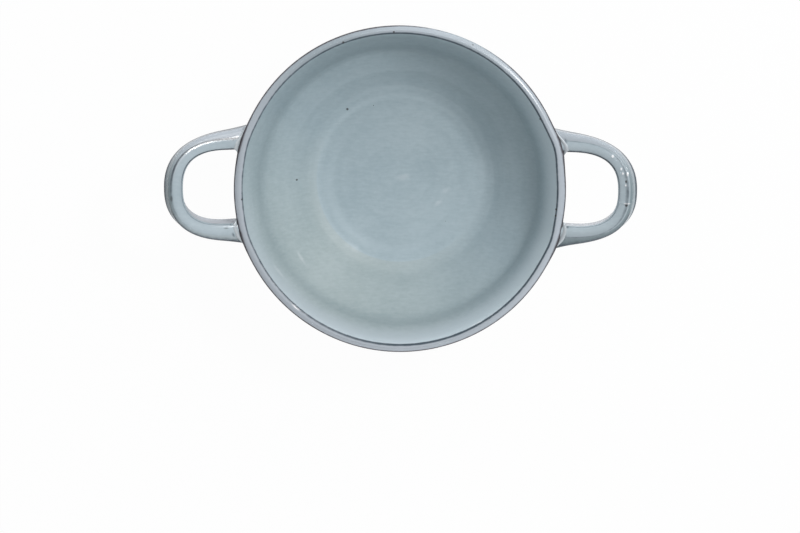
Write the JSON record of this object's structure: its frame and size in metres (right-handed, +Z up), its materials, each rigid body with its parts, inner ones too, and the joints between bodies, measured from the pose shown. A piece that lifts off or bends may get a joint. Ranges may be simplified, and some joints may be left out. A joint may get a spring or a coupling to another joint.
{
  "type": "lug soup bowl",
  "caption": "Round glazed stoneware soup bowl with a flared, shouldered wall on a foot ring and a raised loop handle luted to each side.",
  "frame": {"origin": "centre of the foot ring on the surface that the bowl stands on", "axes": "+Z up along the axis of the bowl, +X through the middle of the right-hand handle, +Y to the rear"},
  "size_m": [0.2192, 0.155, 0.0679],
  "materials": {
    "glaze": "glossy grey-blue reactive glaze with iron specks, breaking brown at the rim",
    "handle_glaze": "glossy grey-blue reactive glaze, breaking dark along the edges",
    "foot_glaze": "glossy grey-blue glaze over a wiped, bare buff clay base",
    "slip": "glazed slip bead, pale where the glaze pools"
  },
  "bodies": {
    "root": {"bowl_body": "glaze", "foot_ring": "foot_glaze", "foot_slip_joint": "slip", "right_handle": "handle_glaze", "right_handle_front_slip_joint": "slip", "right_handle_rear_slip_joint": "slip", "left_handle": "handle_glaze", "left_handle_front_slip_joint": "slip", "left_handle_rear_slip_joint": "slip"}
  },
  "joints": []
}
